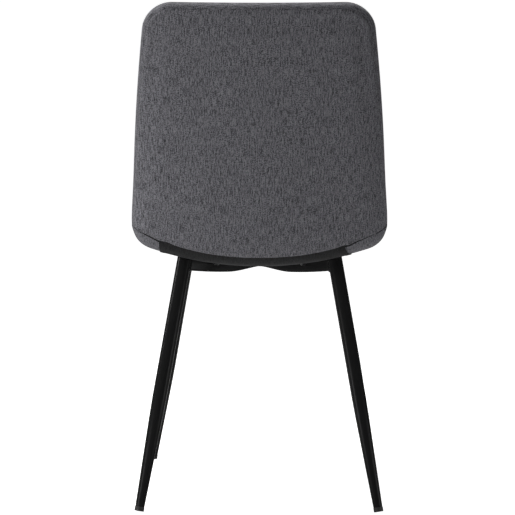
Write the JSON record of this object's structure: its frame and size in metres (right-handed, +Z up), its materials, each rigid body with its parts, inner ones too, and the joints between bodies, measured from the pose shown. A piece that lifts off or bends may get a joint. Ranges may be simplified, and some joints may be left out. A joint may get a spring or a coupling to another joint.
{
  "type": "dining chair",
  "caption": "Armless dining chair: one-piece padded fabric shell with a smile-shaped rear hem, on a crossed black steel frame with slim splayed tapered legs.",
  "frame": {"origin": "on the floor under the middle of the chair's overall box", "axes": "+Z up, -Y the way the sitter faces, +X to the sitter's left"},
  "size_m": [0.4436, 0.5304, 0.8791],
  "materials": {
    "grey_linen_weave": "matte",
    "black_nonwoven": "matte",
    "white_wadding": "matte",
    "cushion_foam": "matte",
    "bent_plywood": "satin",
    "tack_strip_board": "matte",
    "black_powder_coat": "satin",
    "black_bolt_steel": "satin",
    "zinc_hardware": "satin",
    "black_foot_plastic": "matte"
  },
  "bodies": {
    "root": {"shell_board": "bent_plywood", "edge_foam": "cushion_foam", "seat_foam": "cushion_foam", "back_foam": "cushion_foam", "seat_cover": "grey_linen_weave", "inner_back_cover": "grey_linen_weave", "outer_back_wadding": "white_wadding", "outer_back_cover": "grey_linen_weave", "hem_strip": "tack_strip_board", "edge_band": "grey_linen_weave", "dust_cover": "black_nonwoven", "dust_cover_staples": "zinc_hardware", "upper_cross_bar": "black_powder_coat", "lower_cross_bar": "black_powder_coat", "cross_bar_weld": "black_powder_coat", "mounting_tabs": "black_powder_coat", "leg_welds": "black_powder_coat", "leg_rear_left": "black_powder_coat", "leg_rear_right": "black_powder_coat", "leg_front_left": "black_powder_coat", "leg_front_right": "black_powder_coat", "leg_top_discs": "black_powder_coat", "foot_cap_rear_left": "black_foot_plastic", "foot_cap_rear_right": "black_foot_plastic", "foot_cap_front_left": "black_foot_plastic", "foot_cap_front_right": "black_foot_plastic", "frame_bolts": "black_bolt_steel", "flat_washers": "black_bolt_steel", "tee_nuts": "zinc_hardware"}
  },
  "joints": []
}
